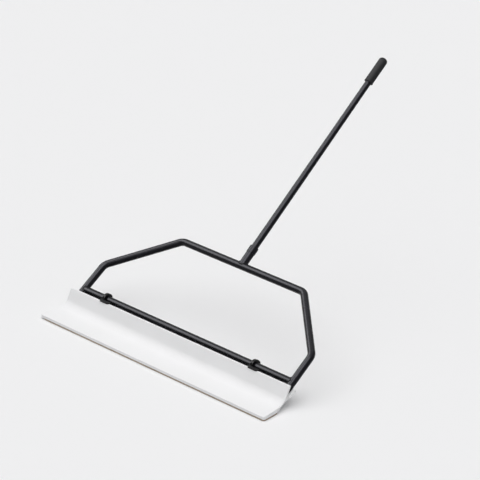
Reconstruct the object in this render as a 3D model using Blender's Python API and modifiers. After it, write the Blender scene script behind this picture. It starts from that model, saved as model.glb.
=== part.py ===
"""Floor squeegee: a bent tube bow with a welded crossbar, a long handle and a moulded blade."""

import math

import bmesh
import bpy
import numpy as np
from mathutils import Matrix, Vector

# Origin: under the middle of the blade's sole, on the floor. +X along the blade, +Y towards the grip.

# Clearance between neighbouring pieces
GAP = 0.0003

# Half the distance between the legs, and the lip's reach past them, a little more at the left
CROSSBAR_HALF = 0.579
BLADE_OVERHANG = 0.0425
BLADE_HALF_LENGTH = CROSSBAR_HALF + BLADE_OVERHANG
BLADE_LEFT_EXTRA = 0.005

# How much narrower than its lip the blade is at two places behind, on each side
BLADE_MIDDLE_Y = 0.020
BLADE_MIDDLE_NARROWING = 0.006
BLADE_REAR_Y = 0.080
BLADE_REAR_NARROWING = 0.0155
LIP_CORNER_RADIUS = 0.008
NARROWING_RADIUS = 0.080

# Blade section, in Y and Z
LIP_Y = -0.0375
LIP_TOP_Z = 0.0175
SOLE_Z = 0.0063
HEEL_Y = 0.042
WALL_FOOT = (0.0783, 0.0262)
WALL_TOP_FRONT = (0.1093, 0.0885)
WALL_TOP_REAR = (0.1182, 0.0885)
CHANNEL_ROOT = (0.0935, 0.0412)
FLAP_TOP = (0.1407, 0.0618)
FLAP_END = (0.1435, 0.0554)
FLAP_FOOT = (0.0800, 0.0277)
BLADE_TOP_CORNER_RADIUS = 0.007
LIP_RADIUS = 0.0028
WALL_FOOT_RADIUS = 0.045
FLAP_FOOT_RADIUS = 0.025
EDGE_RADIUS = 0.002

# Rubber strip under the sole, set in from the blade's edges, and cut short at the left
STRIP_END_INSET = 0.0006
STRIP_LEFT_INSET = 0.021
STRIP_REAR_INSET = 0.001

# Bow and crossbar tube
TUBE_RADIUS = 0.0148
TUBE_WALL = 0.0015
CROSSBAR_Y = 0.15135
CROSSBAR_Z = 0.0801
LEG_LEAN = 0.0034
UPPER_BEND_HALF = 0.3335
LEG_RISE_LENGTH = 0.1277
LEG_TILT = math.radians(35.5)
ARM_LENGTH = 0.2313
ARM_TILT = math.radians(29.7)
LOWER_BEND_RADIUS = 0.040
UPPER_BEND_RADIUS = 0.045
BEND_STEPS = 7
LEG_TAIL = 0.088
TUBE_BEVEL_RESOLUTION = 12
WELD_RADIUS = 0.0030
WELD_SOFTENING = 0.0035
WELD_POINTS = 40
WELD_BEVEL_RESOLUTION = 4

# Steel blocks in the leg ends, and the bolts that hold the blade
FOOT_START = 0.026
BOLT_Y = 0.118
BOLT_RADIUS = 0.004
BOLT_REACH = 0.0115
BOLT_HEAD_FLATS = 0.013
BOLT_HEAD_HEIGHT = 0.0053
WASHER_RADIUS = 0.012
WASHER_THICKNESS = 0.0016

# Clamps on the crossbar, each at its own distance from its leg
CLAMP_FROM_LEG = {"left": 0.134, "right": 0.198}
CLAMP_RADIUS = 0.0245
CLAMP_WIDTH = 0.012
CLAMP_ARC_STEPS = 20
TOE_FROM = 0.004
TOE_TO = 0.054
TOE_THICKNESS = 0.003
TOE_OVERHANG = 0.0028
TOE_CORNER_RADIUS = 0.010
TOE_BACK_DROP = 0.010
TOE_BACK_THICKNESS = 0.0024
TOE_ARM_STEP = 0.001
TOE_ARM_INTO_RING = 0.004
CLAMP_SCREW_OFFSET = 0.0199
CLAMP_SCREW_RADIUS = 0.002
CLAMP_HEAD_RADIUS = 0.0035
CLAMP_HEAD_HEIGHT = 0.004
CLAMP_HEAD_SEAT = 0.0033
CLAMP_SCREW_DEPTH = 0.010
SCREW_TURN_STEPS = 20

# Handle, socket and lock, measured along the handle from the top bar's axis
HANDLE_X = -0.0045
HANDLE_TILT = math.radians(39.7)
HANDLE_RADIUS = 0.01375
HANDLE_TOP_RADIUS = 0.01225
HANDLE_WALL = 0.0015
HANDLE_FOOT = 0.0200
HANDLE_STRAIGHT_TO = 0.150
HANDLE_TOP = 1.0085
SOCKET_START = 0.003
SOCKET_SHOULDER = 0.061
SOCKET_TOP = 0.079
SOCKET_RADIUS = 0.01675
SOCKET_THREAD_RADIUS = 0.0156
COLLAR_GAP = 0.0007
COLLAR_TOP = 0.0905
COLLAR_RADIUS = 0.0183
COLLAR_CHAMFER = 0.0016
COLLAR_FLANGE = 0.003
COLLET_HEIGHT = 0.0078
COLLET_TAPER = 0.0006
COLLET_SLOT = 0.0015
COLLET_CLOSED_BASE = 0.0023
PLUG_FLANGE = 0.002
PLUG_DEPTH = 0.020
GRIP_START = HANDLE_TOP - 0.110
GRIP_TIP = HANDLE_TOP + 0.0099
GRIP_RADIUS = 0.01785
GRIP_RIM_RADIUS = 0.0186
GRIP_RIM_HEIGHT = 0.0032
GRIP_RIM_SLOPE = 0.0012
GRIP_RIM_ROUNDING = 0.0008
GRIP_DOME = 0.0150
GRIP_CROWN = 0.0060
TURN_STEPS = 32


def clear_scene():
    for old in list(bpy.data.objects):
        bpy.data.objects.remove(old)


def collection(name):
    made = bpy.data.collections.new(name)
    bpy.context.scene.collection.children.link(made)
    return made


def material(name, colour, roughness, metallic=0.0):
    made = bpy.data.materials.new(name)
    made.use_nodes = True
    shader = made.node_tree.nodes["Principled BSDF"]
    shader.inputs["Base Color"].default_value = (*colour, 1.0)
    shader.inputs["Roughness"].default_value = roughness
    shader.inputs["Metallic"].default_value = metallic
    return made


clear_scene()
PARTS = collection("squeegee")
CUTTERS = collection("squeegee_cutters")

BLACK_COAT = (0.022, 0.022, 0.024)
WHITE_PLASTIC = (0.86, 0.86, 0.86)
TAN_RUBBER = (0.42, 0.35, 0.28)
BLACK_RUBBER = (0.05, 0.05, 0.052)
ZINC = (0.62, 0.63, 0.65)
BLACK_OXIDE = (0.05, 0.05, 0.055)


def place(obj, name, finish=None):
    """Puts an object among the parts with its material, or among the cutters without one."""
    obj.name = name
    for holder in list(obj.users_collection):
        holder.objects.unlink(obj)
    if finish is None:
        CUTTERS.objects.link(obj)
        obj.hide_render = True
        obj.display_type = "WIRE"
        return obj
    PARTS.objects.link(obj)
    obj.data.materials.clear()
    obj.data.materials.append(material(name, *finish))
    return obj


def rounded_path(points, radii, steps, cyclic=False):
    """The corner points of a path, each one turned into an arc of its own radius."""
    points = [np.array(point, float) for point in points]
    count = len(points)
    path = []
    for index, (corner, radius) in enumerate(zip(points, radii)):
        at_end = not cyclic and index in (0, count - 1)
        if at_end or radius == 0.0:
            path.append(corner)
            continue
        to_last = points[index - 1] - corner
        to_next = points[(index + 1) % count] - corner
        to_last /= np.linalg.norm(to_last)
        to_next /= np.linalg.norm(to_next)
        half_angle = math.acos(float(np.clip(to_last @ to_next, -1.0, 1.0))) / 2
        bisector = (to_last + to_next) / np.linalg.norm(to_last + to_next)
        centre = corner + bisector * radius / math.sin(half_angle)
        start = corner + to_last * radius / math.tan(half_angle) - centre
        end = corner + to_next * radius / math.tan(half_angle) - centre
        sweep = math.pi - 2 * half_angle
        for step in range(steps + 1):
            turn = sweep * step / steps
            arm = (start * math.sin(sweep - turn) + end * math.sin(turn)) / math.sin(sweep)
            path.append(centre + arm)
    return path


def as_mesh(obj):
    """The curve object's evaluated shape as a welded mesh object in the same place."""
    graph = bpy.context.evaluated_depsgraph_get()
    mesh = bpy.data.meshes.new_from_object(obj.evaluated_get(graph))
    welded = bmesh.new()
    welded.from_mesh(mesh)
    bmesh.ops.remove_doubles(welded, verts=welded.verts, dist=0.00001)
    bmesh.ops.recalc_face_normals(welded, faces=welded.faces)
    welded.to_mesh(mesh)
    welded.free()
    made = bpy.data.objects.new(obj.name, mesh)
    made.matrix_world = obj.matrix_world.copy()
    bpy.data.objects.remove(obj)
    return made


def tube_curve(points, radius, capped, cyclic=False, resolution=TUBE_BEVEL_RESOLUTION):
    """A round tube surface along a path."""
    data = bpy.data.curves.new("tube", "CURVE")
    data.dimensions = "3D"
    data.bevel_depth = radius
    data.bevel_resolution = resolution
    data.use_fill_caps = capped
    spline = data.splines.new("POLY")
    spline.points.add(len(points) - 1)
    for knot, point in zip(spline.points, points):
        knot.co = (*point, 1.0)
    spline.use_cyclic_u = cyclic
    spline.use_smooth = True
    obj = bpy.data.objects.new("tube", data)
    bpy.context.scene.collection.objects.link(obj)
    bpy.context.view_layer.update()
    return obj


SECTION_AXES = Matrix(((0, 0, 1, 0), (1, 0, 0, 0), (0, 1, 0, 0), (0, 0, 0, 1)))
FRONT_AXES = Matrix(((1, 0, 0, 0), (0, 0, -1, 0), (0, 1, 0, 0), (0, 0, 0, 1)))


def flat_outline(points, half_thickness, axes, centre):
    """A flat outline given a thickness, as a mesh."""
    data = bpy.data.curves.new("outline", "CURVE")
    data.dimensions = "2D"
    data.fill_mode = "BOTH"
    data.extrude = half_thickness
    spline = data.splines.new("POLY")
    spline.points.add(len(points) - 1)
    for knot, point in zip(spline.points, points):
        knot.co = (point[0], point[1], 0.0, 1.0)
    spline.use_cyclic_u = True
    obj = bpy.data.objects.new("outline", data)
    bpy.context.scene.collection.objects.link(obj)
    obj.matrix_world = Matrix.Translation(centre) @ axes
    bpy.context.view_layer.update()
    return as_mesh(obj)


def turned(profile, closed=False, steps=TURN_STEPS):
    """A profile in X and Z turned about Z, listed down its outer side."""
    mesh = bpy.data.meshes.new("turned")
    outline = bmesh.new()
    corners = [outline.verts.new((radius, 0.0, height)) for radius, height in profile]
    for first, second in zip(corners, corners[1:]):
        outline.edges.new((first, second))
    if closed:
        outline.edges.new((corners[-1], corners[0]))
    outline.to_mesh(mesh)
    outline.free()
    obj = bpy.data.objects.new("turned", mesh)
    screw = obj.modifiers.new("turn", "SCREW")
    screw.axis = "Z"
    screw.steps = steps
    screw.render_steps = steps
    screw.use_merge_vertices = True
    screw.merge_threshold = 0.00001
    screw.use_smooth_shade = True
    bpy.context.scene.collection.objects.link(obj)
    return obj


def cylinder(radius, length, segments=TURN_STEPS):
    """A closed cylinder about its own Z axis."""
    mesh = bpy.data.meshes.new("cylinder")
    solid = bmesh.new()
    bmesh.ops.create_cone(
        solid, cap_ends=True, segments=segments, radius1=radius, radius2=radius, depth=length
    )
    solid.to_mesh(mesh)
    solid.free()
    obj = bpy.data.objects.new("cylinder", mesh)
    bpy.context.scene.collection.objects.link(obj)
    return obj


def box(size, centre):
    """A closed box with its size in the mesh."""
    mesh = bpy.data.meshes.new("box")
    solid = bmesh.new()
    bmesh.ops.create_cube(solid, size=1.0)
    bmesh.ops.scale(solid, vec=size, verts=solid.verts)
    solid.to_mesh(mesh)
    solid.free()
    obj = bpy.data.objects.new("box", mesh)
    bpy.context.scene.collection.objects.link(obj)
    obj.location = centre
    return obj


def boolean(obj, other, operation="DIFFERENCE"):
    modifier = obj.modifiers.new(other.name, "BOOLEAN")
    modifier.operation = operation
    modifier.solver = "EXACT"
    modifier.object = other


def empty(name, location, rotation=(0.0, 0.0, 0.0)):
    obj = bpy.data.objects.new(name, None)
    obj.empty_display_size = 0.05
    PARTS.objects.link(obj)
    obj.location = location
    obj.rotation_euler = rotation
    return obj


def smooth(obj, degrees=35.0):
    obj.data.shade_smooth()
    obj.data.set_sharp_from_angle(angle=math.radians(degrees))


# Lines of the frame
leg_centre = Vector((CROSSBAR_HALF, CROSSBAR_Y, CROSSBAR_Z))
lower_bend = Vector(
    (
        CROSSBAR_HALF - LEG_LEAN,
        CROSSBAR_Y + LEG_RISE_LENGTH * math.cos(LEG_TILT),
        CROSSBAR_Z + LEG_RISE_LENGTH * math.sin(LEG_TILT),
    )
)
upper_bend = Vector(
    (
        UPPER_BEND_HALF,
        lower_bend.y + ARM_LENGTH * math.cos(ARM_TILT),
        lower_bend.z + ARM_LENGTH * math.sin(ARM_TILT),
    )
)
leg_direction = (leg_centre - lower_bend).normalized()
leg_end = leg_centre + leg_direction * LEG_TAIL


SIDES = {"right": 1, "left": -1}


def on_side(point, side):
    """A point of the frame's right half, on the side asked for."""
    return Vector((point[0] * SIDES[side], point[1], point[2]))


bow_corners = [leg_end, lower_bend, upper_bend]
bow_corners += [on_side(point, "left") for point in reversed(bow_corners)]
bow_radii = [0.0, LOWER_BEND_RADIUS, UPPER_BEND_RADIUS, UPPER_BEND_RADIUS, LOWER_BEND_RADIUS, 0.0]
bow_path = rounded_path(bow_corners, bow_radii, BEND_STEPS)

# Space that the blade's channel takes from the leg ends and the clamps
wall_back = (Vector(WALL_TOP_REAR) - Vector(CHANNEL_ROOT)).normalized()
flap_slope = (Vector(FLAP_TOP) - Vector(CHANNEL_ROOT)).normalized()
wall_normal = Vector((wall_back.y, -wall_back.x))
flap_normal = Vector((-flap_slope.y, flap_slope.x))
flap_drop = (Vector(FLAP_END) - Vector(FLAP_TOP)).normalized()
root_shift = (wall_normal + flap_normal) / (1.0 + wall_normal.dot(flap_normal))
seat_root = Vector(CHANNEL_ROOT) + root_shift * GAP
seat_corner = Vector(FLAP_TOP) + (flap_normal + flap_slope) * GAP
seat_outline = [
    seat_root,
    seat_corner,
    seat_corner + flap_drop * LEG_TAIL,
    Vector((LIP_Y, 0.0)) - Vector((LEG_TAIL, LEG_TAIL)) / 2,
    Vector((LIP_Y, WALL_TOP_REAR[1])) + Vector((-LEG_TAIL, LEG_TAIL)) / 2,
    seat_root + wall_back * LEG_TAIL,
]
seat_half_length = BLADE_HALF_LENGTH + BLADE_OVERHANG + BLADE_LEFT_EXTRA
seat = flat_outline(seat_outline, seat_half_length, SECTION_AXES, (0, 0, 0))
place(seat, "blade_space")

bow_space = tube_curve(bow_path, TUBE_RADIUS + GAP, True)
bow_space = place(as_mesh(bow_space), "bow_space")
crossbar_space = cylinder(TUBE_RADIUS + GAP, 2 * CROSSBAR_HALF, 40)
crossbar_space.location = (0, CROSSBAR_Y, CROSSBAR_Z)
crossbar_space.rotation_euler = (0, math.pi / 2, 0)
place(crossbar_space, "crossbar_space")


# Bow tube
def hollow_tube(points, name, finish):
    surface = tube_curve(points, TUBE_RADIUS, False)
    made = place(as_mesh(surface), name, finish)
    wall = made.modifiers.new("wall", "SOLIDIFY")
    wall.thickness = TUBE_WALL
    wall.offset = -1.0
    wall.use_even_offset = True
    smooth(made)
    return made


bow_tube = hollow_tube(bow_path, "bow_tube", (BLACK_COAT, 0.38))
boolean(bow_tube, seat)

# Crossbar, coped to the legs
crossbar_ends = [(-CROSSBAR_HALF, CROSSBAR_Y, CROSSBAR_Z), (CROSSBAR_HALF, CROSSBAR_Y, CROSSBAR_Z)]
crossbar = hollow_tube(crossbar_ends, "crossbar", (BLACK_COAT, 0.38))
boolean(crossbar, bow_space)


# Weld beads
def weld_loop(first_radius, second_direction, second_radius, inwards):
    """The meeting line of a tube along X or along the handle with the tube it is welded to."""
    loop = []
    for step in range(WELD_POINTS):
        angle = 2 * math.pi * step / WELD_POINTS
        around = inwards[1] * math.cos(angle) + inwards[2] * math.sin(angle)
        around = around * first_radius
        along = around.dot(second_direction)
        inside = second_radius**2 - around.length_squared + along**2
        reach = math.sqrt(max(inside, 0.0) + WELD_SOFTENING**2)
        loop.append(around + inwards[0] * reach)
    return loop


across = (Vector((-1, 0, 0)), Vector((0, 1, 0)), Vector((0, 0, 1)))
weld_path = weld_loop(TUBE_RADIUS, leg_direction, TUBE_RADIUS, across)
for side in SIDES:
    weld_points = [on_side(leg_centre + point, side) for point in weld_path]
    weld = tube_curve(weld_points, WELD_RADIUS, False, True, WELD_BEVEL_RESOLUTION)
    weld = place(as_mesh(weld), f"crossbar_weld_{side}", (BLACK_COAT, 0.42))
    smooth(weld)
    boolean(weld, bow_space)
    boolean(weld, crossbar_space)

# Handle axis
top_bar = Vector((HANDLE_X, upper_bend.y, upper_bend.z))
HANDLE_AXIS = empty("handle_axis", top_bar, (HANDLE_TILT - math.pi / 2, 0.0, 0.0))


def on_handle(obj):
    obj.parent = HANDLE_AXIS
    return obj


# Socket welded on the top bar
socket_bore = HANDLE_RADIUS + GAP
socket = turned(
    [
        (SOCKET_THREAD_RADIUS, SOCKET_TOP),
        (SOCKET_THREAD_RADIUS, SOCKET_SHOULDER),
        (SOCKET_RADIUS, SOCKET_SHOULDER),
        (SOCKET_RADIUS, SOCKET_START),
        (socket_bore, SOCKET_START),
        (socket_bore, SOCKET_TOP),
    ],
    closed=True,
    steps=40,
)
socket = on_handle(place(socket, "handle_socket", (BLACK_COAT, 0.38)))
boolean(socket, bow_space)

socket_space = cylinder(SOCKET_RADIUS + GAP, 2 * SOCKET_TOP, 40)
on_handle(place(socket_space, "socket_space"))
socket_space.location = (0, 0, SOCKET_TOP + SOCKET_START - GAP)
upwards = (Vector((0, 0, 1)), Vector((1, 0, 0)), Vector((0, 1, 0)))
socket_loop = weld_loop(SOCKET_RADIUS, Vector((1, 0, 0)), TUBE_RADIUS, upwards)
socket_weld = tube_curve(socket_loop, WELD_RADIUS, False, True, WELD_BEVEL_RESOLUTION)
socket_weld = on_handle(place(as_mesh(socket_weld), "socket_weld", (BLACK_COAT, 0.42)))
smooth(socket_weld)
boolean(socket_weld, bow_space)
boolean(socket_weld, socket_space)

# Locking collar and the split collet that it presses on the handle
collar_bottom = SOCKET_SHOULDER + COLLAR_GAP
collar_bore = SOCKET_THREAD_RADIUS + GAP
flange_bottom = COLLAR_TOP - COLLAR_FLANGE
collar_profile = [
    (COLLAR_RADIUS - COLLAR_CHAMFER, COLLAR_TOP),
    (COLLAR_RADIUS, COLLAR_TOP - COLLAR_CHAMFER),
    (COLLAR_RADIUS, collar_bottom + COLLAR_CHAMFER / 2),
    (COLLAR_RADIUS - COLLAR_CHAMFER / 2, collar_bottom),
    (collar_bore, collar_bottom),
    (collar_bore, flange_bottom),
    (socket_bore, flange_bottom),
    (socket_bore, COLLAR_TOP),
]
collar = turned(collar_profile, closed=True, steps=40)
collar = on_handle(place(collar, "locking_collar", (BLACK_COAT, 0.40)))

collet_bottom = SOCKET_TOP + GAP
collet_top = collet_bottom + COLLET_HEIGHT
collet_profile = [
    (SOCKET_THREAD_RADIUS - COLLET_TAPER, collet_top),
    (SOCKET_THREAD_RADIUS, collet_bottom),
    (socket_bore, collet_bottom),
    (socket_bore, collet_top),
]
collet = on_handle(place(turned(collet_profile, closed=True), "collet", (BLACK_RUBBER, 0.5)))
for index in range(2):
    slot_size = (4 * SOCKET_RADIUS, COLLET_SLOT, COLLET_HEIGHT)
    slot = box(slot_size, (0, 0, collet_bottom + COLLET_CLOSED_BASE + COLLET_HEIGHT / 2))
    slot.rotation_euler = (0, 0, math.radians(45 + 90 * index))
    boolean(collet, on_handle(place(slot, f"collet_slot_{index}")))

# Tapering handle tube with a plug at each end
handle_profile = [
    (HANDLE_TOP_RADIUS, HANDLE_TOP),
    (HANDLE_RADIUS, HANDLE_STRAIGHT_TO),
    (HANDLE_RADIUS, HANDLE_FOOT),
    (HANDLE_RADIUS - HANDLE_WALL, HANDLE_FOOT),
    (HANDLE_RADIUS - HANDLE_WALL, HANDLE_STRAIGHT_TO),
    (HANDLE_TOP_RADIUS - HANDLE_WALL, HANDLE_TOP),
]
handle_tube = turned(handle_profile, closed=True)
on_handle(place(handle_tube, "handle_tube", (BLACK_COAT, 0.38)))

foot_flange_top = HANDLE_FOOT - GAP
foot_flange_radius = HANDLE_RADIUS - GAP
foot_plug_radius = HANDLE_RADIUS - HANDLE_WALL - GAP
plug_profile = [
    (0.0, foot_flange_top + PLUG_DEPTH),
    (foot_plug_radius, foot_flange_top + PLUG_DEPTH),
    (foot_plug_radius, foot_flange_top),
    (foot_flange_radius, foot_flange_top),
    (foot_flange_radius, foot_flange_top - PLUG_FLANGE),
    (0.0, foot_flange_top - PLUG_FLANGE),
]
on_handle(place(turned(plug_profile), "handle_plug", (BLACK_RUBBER, 0.5)))

cap_bottom = HANDLE_TOP + GAP
cap_plug_radius = HANDLE_TOP_RADIUS - HANDLE_WALL - GAP
cap_profile = [
    (0.0, cap_bottom + PLUG_FLANGE),
    (HANDLE_TOP_RADIUS, cap_bottom + PLUG_FLANGE),
    (HANDLE_TOP_RADIUS, cap_bottom),
    (cap_plug_radius, cap_bottom),
    (cap_plug_radius, cap_bottom - PLUG_DEPTH),
    (0.0, cap_bottom - PLUG_DEPTH),
]
on_handle(place(turned(cap_profile), "handle_cap", (BLACK_RUBBER, 0.5)))

# Rubber grip with a round closed end and a rolled rim
taper = (HANDLE_RADIUS - HANDLE_TOP_RADIUS) / (HANDLE_TOP - HANDLE_STRAIGHT_TO)
grip_bore = HANDLE_RADIUS - taper * (GRIP_START - HANDLE_STRAIGHT_TO) + GAP
grip_profile = []
for step in range(9):
    angle = math.pi / 2 * step / 8
    height = GRIP_TIP - GRIP_DOME + GRIP_DOME * math.cos(angle)
    grip_profile.append((GRIP_RADIUS * math.sin(angle), height))
grip_profile += [
    (GRIP_RADIUS, GRIP_START + GRIP_RIM_HEIGHT + GRIP_RIM_SLOPE),
    (GRIP_RIM_RADIUS, GRIP_START + GRIP_RIM_HEIGHT),
    (GRIP_RIM_RADIUS, GRIP_START + GRIP_RIM_ROUNDING),
    (GRIP_RIM_RADIUS - GRIP_RIM_ROUNDING, GRIP_START),
    (grip_bore, GRIP_START),
    (grip_bore, GRIP_TIP - GRIP_CROWN),
    (0.0, GRIP_TIP - GRIP_CROWN),
]
on_handle(place(turned(grip_profile), "grip", (BLACK_RUBBER, 0.75)))

# Blade
blade_corners = [
    (LIP_Y, SOLE_Z),
    (LIP_Y, LIP_TOP_Z),
    WALL_FOOT,
    WALL_TOP_FRONT,
    WALL_TOP_REAR,
    CHANNEL_ROOT,
    FLAP_TOP,
    FLAP_END,
    FLAP_FOOT,
    (HEEL_Y, SOLE_Z),
]
blade_radii = [
    0.0,
    LIP_RADIUS,
    WALL_FOOT_RADIUS,
    EDGE_RADIUS,
    EDGE_RADIUS,
    0.0,
    EDGE_RADIUS / 2,
    EDGE_RADIUS / 2,
    FLAP_FOOT_RADIUS,
    0.0,
]
section = rounded_path(blade_corners, blade_radii, 8, cyclic=True)
blade_reach = BLADE_HALF_LENGTH + BLADE_LEFT_EXTRA
blade = flat_outline(section, blade_reach + EDGE_RADIUS, SECTION_AXES, (0, 0, 0))
place(blade, "blade", (WHITE_PLASTIC, 0.5))

# Its ends, flared towards the lip and round at the lip's corners
rear_half_length = BLADE_HALF_LENGTH - BLADE_REAR_NARROWING
middle_half_length = BLADE_HALF_LENGTH - BLADE_MIDDLE_NARROWING
right_end = [
    (BLADE_HALF_LENGTH, LIP_Y - GAP),
    (middle_half_length, BLADE_MIDDLE_Y),
    (rear_half_length + GAP, BLADE_REAR_Y),
    (rear_half_length + GAP, FLAP_END[0] + EDGE_RADIUS),
]
right_radii = [LIP_CORNER_RADIUS, NARROWING_RADIUS, NARROWING_RADIUS, 0.0]
plan_corners = right_end + [(-x - BLADE_LEFT_EXTRA, y) for x, y in reversed(right_end)]
plan_view = rounded_path(plan_corners, right_radii + right_radii[::-1], 6, cyclic=True)
plan = flat_outline(plan_view, WALL_TOP_REAR[1] + EDGE_RADIUS, Matrix.Identity(4), (0, 0, 0))
boolean(blade, place(plan, "blade_plan"), "INTERSECT")

# The round corners of the wall's top edge
front_top = WALL_TOP_REAR[1] + GAP
wide_half_length = BLADE_HALF_LENGTH + EDGE_RADIUS / 2
right_front = [
    (wide_half_length, 0.0),
    (wide_half_length, FLAP_TOP[1]),
    (rear_half_length, FLAP_TOP[1] + EDGE_RADIUS),
    (rear_half_length, front_top),
]
front_radii = [0.0, 0.0, 0.0, BLADE_TOP_CORNER_RADIUS]
front_corners = right_front + [(-x - BLADE_LEFT_EXTRA, z) for x, z in reversed(right_front)]
front_view = rounded_path(front_corners, front_radii + front_radii[::-1], 6, cyclic=True)
ends = place(flat_outline(front_view, 2 * FLAP_END[0], FRONT_AXES, (0, 0, 0)), "blade_ends")
boolean(blade, ends, "INTERSECT")

# Rubber strip under the sole
strip_height = SOLE_Z - GAP
strip_rear = HEEL_Y - STRIP_REAR_INSET
strip_slant = (strip_rear - BLADE_MIDDLE_Y) / (BLADE_REAR_Y - BLADE_MIDDLE_Y)
strip_rear_half = middle_half_length + (rear_half_length - middle_half_length) * strip_slant
strip_left = STRIP_LEFT_INSET - blade_reach
strip_corners = [
    (strip_left, LIP_Y),
    (BLADE_HALF_LENGTH - STRIP_END_INSET, LIP_Y),
    (middle_half_length - STRIP_END_INSET, BLADE_MIDDLE_Y),
    (strip_rear_half - STRIP_END_INSET, strip_rear),
    (strip_left, strip_rear),
]
strip_radii = [LIP_CORNER_RADIUS / 2, LIP_CORNER_RADIUS, NARROWING_RADIUS, 0.0, 0.0]
strip_outline = rounded_path(strip_corners, strip_radii, 6, cyclic=True)
strip = flat_outline(strip_outline, strip_height / 2, Matrix.Identity(4), (0, 0, strip_height / 2))
place(strip, "wiper_strip", (TAN_RUBBER, 0.8))

# Steel block in each leg end, with the bolt and washer that hold the blade's flap to it
flap_tilt = math.atan2(flap_slope.y, flap_slope.x)
bolt_z = CHANNEL_ROOT[1] + (BOLT_Y - CHANNEL_ROOT[0]) * flap_slope.y / flap_slope.x
bolt_x = leg_centre.x + leg_direction.x * (BOLT_Y - leg_centre.y) / leg_direction.y
foot_length = LEG_TAIL - FOOT_START
foot_middle = leg_centre + leg_direction * (FOOT_START + foot_length / 2)
foot_radius = TUBE_RADIUS - TUBE_WALL - GAP
flap_underside = (Vector(FLAP_END) - Vector(FLAP_FOOT)).normalized()
underside_normal = Vector((-flap_underside.y, flap_underside.x))
flap_thickness = (Vector((BOLT_Y, bolt_z)) - Vector(FLAP_FOOT)).dot(underside_normal)
washer_top = -flap_thickness - GAP
washer_bore = BOLT_RADIUS + GAP
washer_profile = [
    (WASHER_RADIUS, WASHER_THICKNESS / 2),
    (WASHER_RADIUS, -WASHER_THICKNESS / 2),
    (washer_bore, -WASHER_THICKNESS / 2),
    (washer_bore, WASHER_THICKNESS / 2),
]
head_top = washer_top - WASHER_THICKNESS - GAP
head_radius = BOLT_HEAD_FLATS / 2 / math.cos(math.pi / 6)
shank_bottom = head_top - BOLT_HEAD_HEIGHT / 2
shank_length = BOLT_REACH - shank_bottom
hole_top = BOLT_REACH + BOLT_RADIUS / 2
hole_length = hole_top + 4 * flap_thickness


def on_bolt(obj, axis, height, name, finish=None):
    obj.parent = axis
    obj.location = (0, 0, height)
    return place(obj, name, finish)


for side in SIDES:
    bolt_axis = empty(f"bolt_axis_{side}", on_side((bolt_x, BOLT_Y, bolt_z), side), (flap_tilt, 0, 0))
    hole = cylinder(BOLT_RADIUS + GAP, hole_length, 24)
    on_bolt(hole, bolt_axis, hole_top - hole_length / 2, f"bolt_space_{side}")
    boolean(blade, hole)

    foot = cylinder(foot_radius, foot_length)
    foot.location = on_side(foot_middle, side)
    foot.rotation_euler = on_side(leg_direction, side).to_track_quat("Z", "Y").to_euler()
    place(foot, f"leg_foot_{side}", (ZINC, 0.35, 1.0))
    smooth(foot)
    boolean(foot, seat)
    boolean(foot, hole)

    bolt = cylinder(head_radius, BOLT_HEAD_HEIGHT, 6)
    on_bolt(bolt, bolt_axis, shank_bottom, f"blade_bolt_{side}", (ZINC, 0.3, 1.0))
    shank = cylinder(BOLT_RADIUS, shank_length, 24)
    on_bolt(shank, bolt_axis, BOLT_REACH - shank_length / 2, f"bolt_shank_{side}")
    boolean(bolt, shank, "UNION")

    washer = turned(washer_profile, closed=True)
    washer_height = washer_top - WASHER_THICKNESS / 2
    on_bolt(washer, bolt_axis, washer_height, f"blade_washer_{side}", (ZINC, 0.3, 1.0))

# Clamps on the crossbar, each in two halves, with a toe over the blade's top edge
clamp_bore = TUBE_RADIUS + GAP


def half_ring(sign):
    """The section of a half ring, above or below the parting plane."""
    outline = []
    for radius, steps in ((CLAMP_RADIUS, range(CLAMP_ARC_STEPS + 1)), (clamp_bore, None)):
        steps = steps or range(CLAMP_ARC_STEPS, -1, -1)
        first = math.asin(GAP / radius)
        for step in steps:
            angle = first + (math.pi - 2 * first) * step / CLAMP_ARC_STEPS
            y = CROSSBAR_Y + radius * math.cos(angle)
            z = CROSSBAR_Z + sign * radius * math.sin(angle)
            outline.append((y, z))
    return outline


toe_bottom = WALL_TOP_REAR[1] + GAP
toe_top = toe_bottom + TOE_THICKNESS
toe_front = WALL_TOP_FRONT[0] - TOE_OVERHANG
toe_middle = (TOE_FROM + TOE_TO) / 2
toe_half = (TOE_TO - TOE_FROM) / 2
rear_inner = Vector(WALL_TOP_REAR) + wall_normal * 2 * GAP
back_foot = rear_inner - wall_back * TOE_BACK_DROP
back_out = back_foot + wall_normal * TOE_BACK_THICKNESS
plate_rear = rear_inner + wall_back * (toe_bottom - rear_inner.y) / wall_back.y
plate_corners = [
    (-toe_half, toe_front),
    (toe_half, toe_front),
    (toe_half, plate_rear.x),
    (-toe_half, plate_rear.x),
]
plate_radii = [TOE_CORNER_RADIUS / 2, TOE_CORNER_RADIUS, 0.0, 0.0]
plate_outline = rounded_path(plate_corners, plate_radii, 6, cyclic=True)
back_outline = [
    back_foot,
    back_out,
    back_out + wall_back * (toe_top - back_out.y) / wall_back.y,
    (plate_rear.x - GAP, toe_top),
    (plate_rear.x - GAP, toe_bottom),
    plate_rear,
]
ring_front = CROSSBAR_Y - math.sqrt(CLAMP_RADIUS**2 - (toe_bottom - CROSSBAR_Z) ** 2)
arm_rear = ring_front + TOE_ARM_INTO_RING
arm_outline = [
    (rear_inner.x + GAP, toe_bottom - TOE_ARM_STEP),
    (arm_rear, toe_bottom - TOE_ARM_STEP),
    (arm_rear, toe_top - TOE_ARM_STEP),
    (rear_inner.x + GAP, toe_top - TOE_ARM_STEP),
]

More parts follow.
